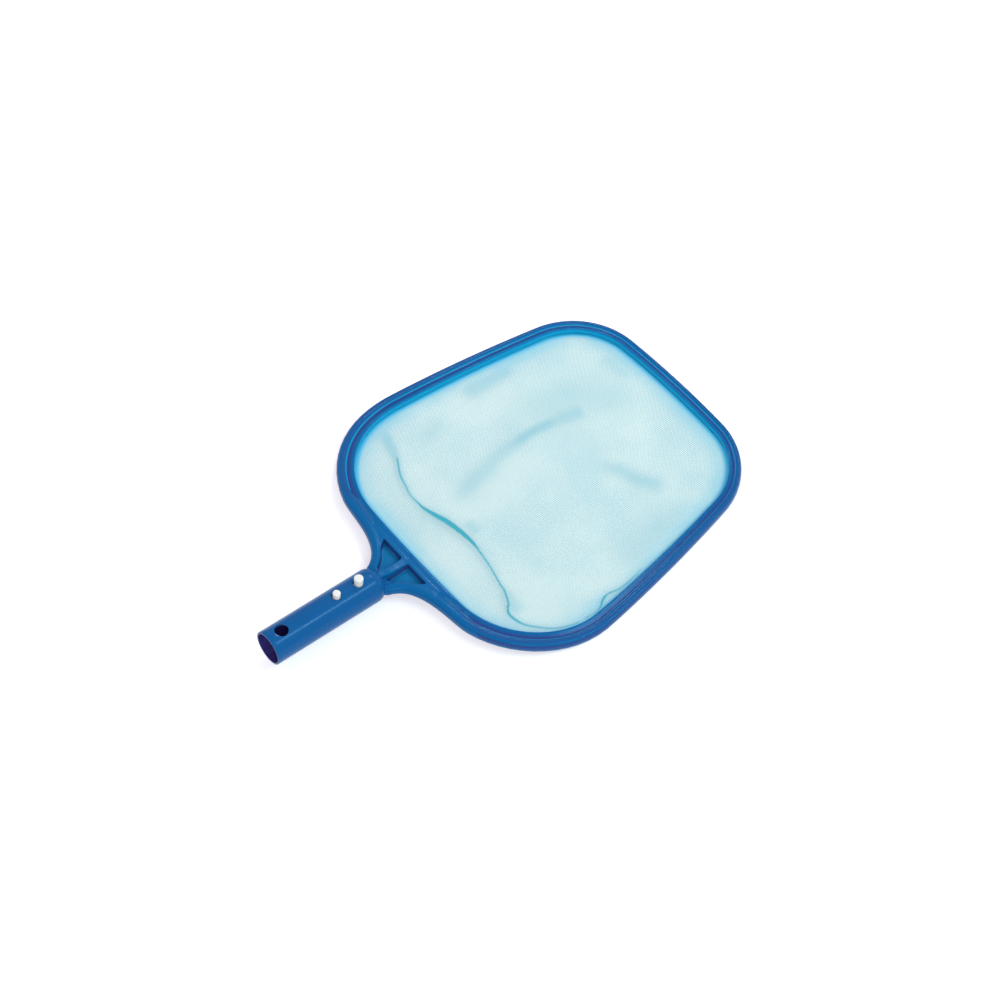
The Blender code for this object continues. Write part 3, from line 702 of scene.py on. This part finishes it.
def ease(share):
    """smooth_step for a whole array."""
    share = np.clip(share, 0, 1)
    return share * share * (3 - 2 * share)


def inside_outline(point, outline):
    hit = False
    for a, b in zip(outline, outline[1:] + outline[:1]):
        if (a.y > point.y) != (b.y > point.y):
            if point.x < (b.x - a.x) * (point.y - a.y) / (b.y - a.y) + a.x:
                hit = not hit
    return hit


def make_net():
    """A grid cut to the opening, sagging a little, with the folds of a loosely held net."""
    outline = opening_outline()
    deselect()
    width = NET_HIGH.x - NET_LOW.x + NET_MARGIN
    depth = NET_HIGH.y - NET_LOW.y + NET_MARGIN
    middle = (NET_LOW + NET_HIGH) / 2
    bpy.ops.mesh.primitive_grid_add(
        x_subdivisions=round(width / NET_PITCH),
        y_subdivisions=round(depth / NET_PITCH),
        size=1,
        location=(middle.x, middle.y, NET_LEVEL),
    )
    net = bpy.context.object
    net.name = net.data.name = "net_cloth"
    net.scale = (width, depth, 1)
    bpy.ops.object.transform_apply(location=True, rotation=True, scale=True)
    builder = bmesh.new()
    builder.from_mesh(net.data)
    outer = {vertex for vertex in builder.verts if not inside_outline(vertex.co.xy, outline)}
    faces = [face for face in builder.faces if all(vertex in outer for vertex in face.verts)]
    bmesh.ops.delete(builder, geom=faces, context="FACES")
    for vertex in builder.verts:
        if vertex in outer:
            vertex.co.xy = nearest_on_outline(vertex.co.xy, outline)
    bmesh.ops.remove_doubles(builder, verts=builder.verts, dist=NET_MERGE)
    builder.to_mesh(net.data)
    builder.free()
    shape_net(net, outline)
    return net


def nearest_on_outline(point, outline):
    spots = (closest_on(a, b, point) for a, b in zip(outline, outline[1:] + outline[:1]))
    return min(spots, key=lambda spot: (spot - point).length_squared)


def closest_on(a, b, point):
    run = b - a
    share = min(max((point - a).dot(run) / run.length_squared, 0.0), 1.0)
    return a + run * share


def shape_net(net, outline):
    """Lays the net: its sag, its waves and its folds. The waves and the folds are also kept as attributes
    for the weave, and painted shade is laid beside each fold.
    """
    count = len(net.data.vertices)
    flat = np.empty(count * 3)
    net.data.vertices.foreach_get("co", flat)
    points = flat.reshape(-1, 3)
    plan = points[:, :2].copy()
    border = np.array([(*point, MM) for point in outline + outline[:1]])
    edge, _, _ = distance_and_width(plan, border)
    fade = ease(edge / NET_HELD)
    x, y = plan[:, 0], plan[:, 1]
    height = -NET_SAG * np.sin(np.pi * np.clip((x - NET_LOW.x) / OPENING_LENGTH, 0, 1))
    across = np.sin(x * 42 + 0.9 * np.sin(y * 33 + 1.1))
    height += NET_SWELL * across * np.cos(y * 27 + 1.2 * np.sin(x * 21))
    gather_and_fold_shade = np.zeros(count)
    for strength, wave in WAVES:
        away, half, along = distance_and_width(plan, smooth_route(wave))
        taper = ease(np.minimum(along, 1 - along) / WAVE_TAPER)
        soft = taper * np.exp(-((away / (half * WAVE_SOFTNESS)) ** 2))
        gather_and_fold_shade = gather_and_fold_shade + strength * soft * (1 - gather_and_fold_shade)
        height += WAVE_HEIGHT * strength * soft
    away, half, _ = distance_and_width(plan, smooth_route(RIPPLES))
    ripple = np.exp(-((away / half) ** 2))
    gather_and_fold_shade = np.clip(gather_and_fold_shade * (1 - RIPPLE_STRENGTH * ripple * np.sin(away / MM * RIPPLE_TURNS)), 0, 1)
    fold = np.zeros(count)
    for route, tall in FOLD_HEIGHTS:
        away, half, _ = distance_and_width(plan, smooth_route(route))
        fold = np.maximum(fold, np.clip((half - away) / FOLD_EDGE + 0.5, 0, 1))
        height += tall * np.exp(-((away / FOLD_SPREAD) ** 2))
        # Painted shade: a soft teal band on each side of a fold, where the fold would shade the net.
        gather_and_fold_shade = np.maximum(gather_and_fold_shade, FOLD_SHADE_HALO * np.exp(-((away / (half + FOLD_SPREAD)) ** 2)))
    points[:, 2] += height * fade
    points[:, 2] += [neck_lift(value) for value in x]
    net.data.vertices.foreach_set("co", points.ravel())
    put_attribute(net.data, "fold", fold)
    put_attribute(net.data, "gather_and_fold_shade", gather_and_fold_shade)
    put_attribute(net.data, "edge", edge / MM)
    net.data.update()
    make_active(net)
    bpy.ops.object.shade_smooth()


def range_node(tree, source, low, high, start, end):
    """Maps a value from low..high to start..end, eased at both ends."""
    made = add_node(tree, "ShaderNodeMapRange", interpolation_type="SMOOTHSTEP")
    for name, value in (("From Min", low), ("From Max", high), ("To Min", start), ("To Max", end)):
        made.inputs[name].default_value = value
    link(tree, source, made.inputs["Value"])
    return made.outputs["Result"]


def join_values(tree, operation, first, second):
    made = add_node(tree, "ShaderNodeMath", operation=operation)
    for socket, value in zip(made.inputs, (first, second)):
        if isinstance(value, bpy.types.NodeSocket):
            link(tree, value, socket)
        else:
            socket.default_value = value
    return made.outputs[0]


# Weave: how far apart its yarns are, and how much it covers between them and on them.
WEAVE_PITCH = 1.9 * MM
WEAVE_BETWEEN = 0.20
WEAVE_ON_YARN = 0.94
YARN_DRIFT = 0.006
YARN_DRIFT_SCALE = 11
YARN_BUMP = 0.25
YARN_HEIGHT = 0.0002
BAND_UNIT = 2 * math.pi / 20  # a wave texture of scale 1 has bands this far apart


def weave_group():
    """A square weave with slightly uneven yarns: how much of the ground it covers, and its bump."""
    group = bpy.data.node_groups.new("open_weave", "ShaderNodeTree")
    for name, value in (("Pitch", WEAVE_PITCH), ("Open", WEAVE_BETWEEN), ("Closed", WEAVE_ON_YARN)):
        socket = group.interface.new_socket(name, in_out="INPUT", socket_type="NodeSocketFloat")
        socket.default_value = value
    group.interface.new_socket("Cover", in_out="OUTPUT", socket_type="NodeSocketFloat")
    group.interface.new_socket("Normal", in_out="OUTPUT", socket_type="NodeSocketVector")
    entry = add_node(group, "NodeGroupInput")
    leave = add_node(group, "NodeGroupOutput")
    place = add_node(group, "ShaderNodeTexCoord")
    drift = add_node(group, "ShaderNodeTexNoise")
    drift.inputs["Scale"].default_value = YARN_DRIFT_SCALE
    drift.inputs["Detail"].default_value = 1
    link(group, place.outputs["Object"], drift.inputs["Vector"])
    centred = add_node(group, "ShaderNodeVectorMath", operation="SUBTRACT")
    centred.inputs[1].default_value = (0.5, 0.5, 0.5)
    link(group, drift.outputs["Color"], centred.inputs[0])
    shifted = add_node(group, "ShaderNodeVectorMath", operation="MULTIPLY_ADD")
    shifted.inputs[1].default_value = (YARN_DRIFT, YARN_DRIFT, 0)
    link(group, centred.outputs[0], shifted.inputs[0])
    link(group, place.outputs["Object"], shifted.inputs[2])
    scale = join_values(group, "DIVIDE", BAND_UNIT, entry.outputs["Pitch"])
    yarns = []
    for axis in ("X", "Y"):
        wave = add_node(group, "ShaderNodeTexWave", wave_type="BANDS", bands_direction=axis)
        link(group, shifted.outputs[0], wave.inputs["Vector"])
        link(group, scale, wave.inputs["Scale"])
        yarns.append(wave.outputs["Fac"])
    both = join_values(group, "ADD", yarns[0], yarns[1])
    half = join_values(group, "MULTIPLY", both, 0.5)
    spread = join_values(group, "SUBTRACT", entry.outputs["Closed"], entry.outputs["Open"])
    rise = join_values(group, "MULTIPLY", half, spread)
    cover = join_values(group, "ADD", rise, entry.outputs["Open"])
    bump = add_node(group, "ShaderNodeBump")
    bump.inputs["Strength"].default_value = YARN_BUMP
    bump.inputs["Distance"].default_value = YARN_HEIGHT
    link(group, half, bump.inputs["Height"])
    link(group, cover, leave.inputs["Cover"])
    link(group, bump.outputs["Normal"], leave.inputs["Normal"])
    return group


# Net's tint: soft clouds all over, then painted blue light from the rim: a wide band by the rim in mm, and
# a narrow one that is almost solid.
CLOUD_SCALE = 13
CLOUD_DETAIL = 4
CLOUD_RANGE = (0.35, 0.68)
RIM_CLOUD_RANGE = (0.3, 0.6)
WIDE_BAND = (2.0, 24.0)
NARROW_BAND = (0.5, 7.5)
WIDE_TINT = 0.85
WIDE_COVER = 0.35
GATHER_COVER = 0.6
NET_ROUGHNESS = 0.6


def net_material():
    """A fine square weave of pale aqua yarn. It is teal where a fold doubles it, has painted shade beside
    its folds, and painted blue light from the rim by its edge.
    """
    made, tree, shader = new_material("net_weave")
    weave = add_node(tree, "ShaderNodeGroup", node_tree=weave_group())
    weave.inputs["Pitch"].default_value = WEAVE_PITCH
    weave.inputs["Open"].default_value = WEAVE_BETWEEN
    weave.inputs["Closed"].default_value = WEAVE_ON_YARN
    fold = add_node(tree, "ShaderNodeAttribute", attribute_name="fold").outputs["Fac"]
    gather_and_fold_shade = add_node(tree, "ShaderNodeAttribute", attribute_name="gather_and_fold_shade").outputs["Fac"]
    edge = add_node(tree, "ShaderNodeAttribute", attribute_name="edge").outputs["Fac"]
    place = add_node(tree, "ShaderNodeTexCoord")
    cloud = add_node(tree, "ShaderNodeTexNoise")
    cloud.inputs["Scale"].default_value = CLOUD_SCALE
    cloud.inputs["Detail"].default_value = CLOUD_DETAIL
    link(tree, place.outputs["Object"], cloud.inputs["Vector"])
    patch = range_node(tree, cloud.outputs["Fac"], *CLOUD_RANGE, 0.0, 1.0)
    uneven = range_node(tree, cloud.outputs["Fac"], *RIM_CLOUD_RANGE, 0.4, 1.0)
    # Painted light: blue from the rim tints the net in a wide band, and in a narrow, almost solid one by
    # its edge.
    wide = join_values(tree, "MULTIPLY", range_node(tree, edge, *WIDE_BAND, 1.0, 0.0), uneven)
    narrow = range_node(tree, edge, *NARROW_BAND, 1.0, 0.0)
    base = blend_colours(tree, patch, NET_PALE, NET_SOFT)
    tinted = blend_colours(tree, gather_and_fold_shade, base, NET_GATHERED)
    rim_lit_wide = blend_colours(tree, join_values(tree, "MULTIPLY", wide, WIDE_TINT), tinted, NET_RIM_LIGHT_WIDE)
    folded = blend_colours(tree, fold, rim_lit_wide, NET_FOLD)
    final = blend_colours(tree, narrow, folded, NET_RIM_LIGHT_NARROW)
    link(tree, final, shader.inputs["Base Color"])
    extra = join_values(tree, "MAXIMUM", join_values(tree, "MULTIPLY", gather_and_fold_shade, GATHER_COVER), fold)
    extra = join_values(tree, "MAXIMUM", extra, join_values(tree, "MULTIPLY", wide, WIDE_COVER))
    extra = join_values(tree, "MAXIMUM", extra, narrow)
    left_open = join_values(tree, "SUBTRACT", 1.0, weave.outputs["Cover"])
    left_open = join_values(tree, "MULTIPLY", left_open, join_values(tree, "SUBTRACT", 1.0, extra))
    dense = join_values(tree, "SUBTRACT", 1.0, left_open)
    link(tree, dense, shader.inputs["Alpha"])
    link(tree, weave.outputs["Normal"], shader.inputs["Normal"])
    shader.inputs["Roughness"].default_value = NET_ROUGHNESS
    return made


# ---------------------------------------------------------------- finishes of the plain nodes


HEM_WEAVE_SCALE = 900
HEM_ROUGHNESS = 0.7


def white_plastic(name):
    """Warm white moulding with a slightly coarser grain than the blue."""
    made, tree, shader = new_material(name)
    grain = grain_node(tree, CLIP_GRAIN_SCALE, CLIP_GRAIN_DEPTH)
    body = blend_colours(tree, grain.outputs["Flow"], *CLIP_WHITES)
    link(tree, body, shader.inputs["Base Color"])
    link(tree, grain.outputs["Roughness"], shader.inputs["Roughness"])
    link(tree, grain.outputs["Normal"], shader.inputs["Normal"])
    return made


def hem_material():
    """The net's welded edge: a tight check of two teals."""
    made, tree, shader = new_material("hem_cloth")
    place = add_node(tree, "ShaderNodeTexCoord", (-900, 0))
    weave = add_node(tree, "ShaderNodeTexChecker", (-700, 0))
    weave.inputs["Scale"].default_value = HEM_WEAVE_SCALE
    weave.inputs["Color1"].default_value, weave.inputs["Color2"].default_value = HEM_TEALS
    link(tree, place.outputs["Object"], weave.inputs["Vector"])
    link(tree, weave.outputs["Color"], shader.inputs["Base Color"])
    shader.inputs["Roughness"].default_value = HEM_ROUGHNESS
    return made


def finish_node(name, material):
    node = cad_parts[name]
    node.data.materials.clear()
    node.data.materials.append(material)


# ---------------------------------------------------------------- studio


# White floor that glows a little where it is seen, be it straight, in a reflection or through a piece.
FLOOR_SIZE = 12
FLOOR_WHITE = (0.88, 0.88, 0.88, 1)
FLOOR_GLOW = 0.48
FLOOR_GLOW_TINT = (1.0, 0.96, 1.0, 1)

# Soft boxes: name, place, target, two side lengths, watts and tint.
LAMPS = (
    ("side_lamp", (0.72, -1.03, 1.86), (-0.2, 0, 0), (1.2, 0.35), 13, (0.6, 1.0, 0.98)),
    ("front_lamp", (-0.95, -1.45, 1.5), (0, 0, 0), (0.7, 0.7), 9, (0.9, 1.0, 0.98)),
    ("back_lamp", (0.36, 0.3, 0.65), (0, 0, 0), (0.12, 0.12), 1.1, (1.0, 0.97, 1.0)),
)
WORLD_TINT = (1.0, 0.93, 1.0, 1)
WORLD_STRENGTH = 0.58

CAMERA_PLACE = (-0.69935, -0.87945, 1.69704)
CAMERA_TURN = 0.68668
CAMERA_DOWN = math.radians(55.97)
CAMERA_LENS = 75.63
CAMERA_SENSOR = 36


def make_floor():
    deselect()
    bpy.ops.mesh.primitive_plane_add(size=1, location=(0, 0, 0))
    floor = bpy.context.object
    floor.name = floor.data.name = "studio_floor"
    floor.scale = (FLOOR_SIZE, FLOOR_SIZE, 1)
    bpy.ops.object.transform_apply(location=True, rotation=True, scale=True)
    made, tree, shader = new_material("studio_white")
    shader.inputs["Base Color"].default_value = FLOOR_WHITE
    shader.inputs["Roughness"].default_value = 1.0
    shader.inputs["Specular IOR Level"].default_value = 0.0
    path = add_node(tree, "ShaderNodeLightPath")
    seen = join_values(tree, "MAXIMUM", path.outputs["Is Camera Ray"], path.outputs["Is Glossy Ray"])
    seen = join_values(tree, "MAXIMUM", seen, path.outputs["Is Transmission Ray"])
    glow = join_values(tree, "MULTIPLY", seen, FLOOR_GLOW)
    shader.inputs["Emission Color"].default_value = FLOOR_GLOW_TINT
    link(tree, glow, shader.inputs["Emission Strength"])
    floor.data.materials.append(made)


def add_lamp(name, place, target, size, power, tint):
    """A soft box that faces its target, with its first side in line with the net's long sides."""
    lamp = bpy.data.lights.new(name, "AREA")
    lamp.shape = "RECTANGLE"
    lamp.size, lamp.size_y = size
    lamp.energy = power
    lamp.color = tint
    obj = bpy.data.objects.new(name, lamp)
    bpy.context.scene.collection.objects.link(obj)
    back = (Vector(place) - Vector(target)).normalized()
    side = (Vector((1, 0, 0)) - back * back.x).normalized()
    turned = Matrix((side, back.cross(side), back)).transposed().to_4x4()
    turned.translation = place
    obj.matrix_world = turned


def light_studio():
    world = bpy.data.worlds.new("studio_world")
    bpy.context.scene.world = world
    world.use_nodes = True
    back = world.node_tree.nodes["Background"]
    back.inputs["Color"].default_value = WORLD_TINT
    back.inputs["Strength"].default_value = WORLD_STRENGTH
    for lamp in LAMPS:
        add_lamp(*lamp)


def make_camera():
    """Looks down on the head from beyond the handle's end, on its -Y side."""
    across = Vector((math.cos(CAMERA_TURN), -math.sin(CAMERA_TURN), 0))
    ahead = Vector((math.sin(CAMERA_TURN), math.cos(CAMERA_TURN), 0))
    up = ahead * math.sin(CAMERA_DOWN) + Vector((0, 0, math.cos(CAMERA_DOWN)))
    back = -(ahead * math.cos(CAMERA_DOWN) - Vector((0, 0, math.sin(CAMERA_DOWN))))
    lens = bpy.data.cameras.new("studio_lens")
    lens.lens = CAMERA_LENS
    lens.sensor_width = CAMERA_SENSOR
    lens.clip_start = 0.01
    camera = bpy.data.objects.new("studio_camera", lens)
    bpy.context.scene.collection.objects.link(camera)
    turned = Matrix((across, up, back)).transposed().to_4x4()
    turned.translation = CAMERA_PLACE
    camera.matrix_world = turned
    bpy.context.scene.camera = camera


# ---------------------------------------------------------------- assembly


make_camera()
frame_blue = blue_plastic("frame_blue", *FRAME_BLUES)
socket_blue = blue_plastic("socket_blue", *SOCKET_BLUES)
dress(make_frame_shell(), frame_blue, "head", "frame_blue", "frame")
dress(make_socket_shell(), socket_blue, "head", "socket_blue", "handle_socket")
net = make_net()
dress(net, net_material(), "head", "net_aqua", "net")
finish_node("net_ring", blue_plastic("ring_blue", *RING_BLUES))
finish_node("net_hem", hem_material())
finish_node("clip_base", white_plastic("clip_white"))
finish_node("clip_arm", white_plastic("button_white"))
make_floor()
light_studio()
bpy.context.scene.view_settings.view_transform = "Standard"
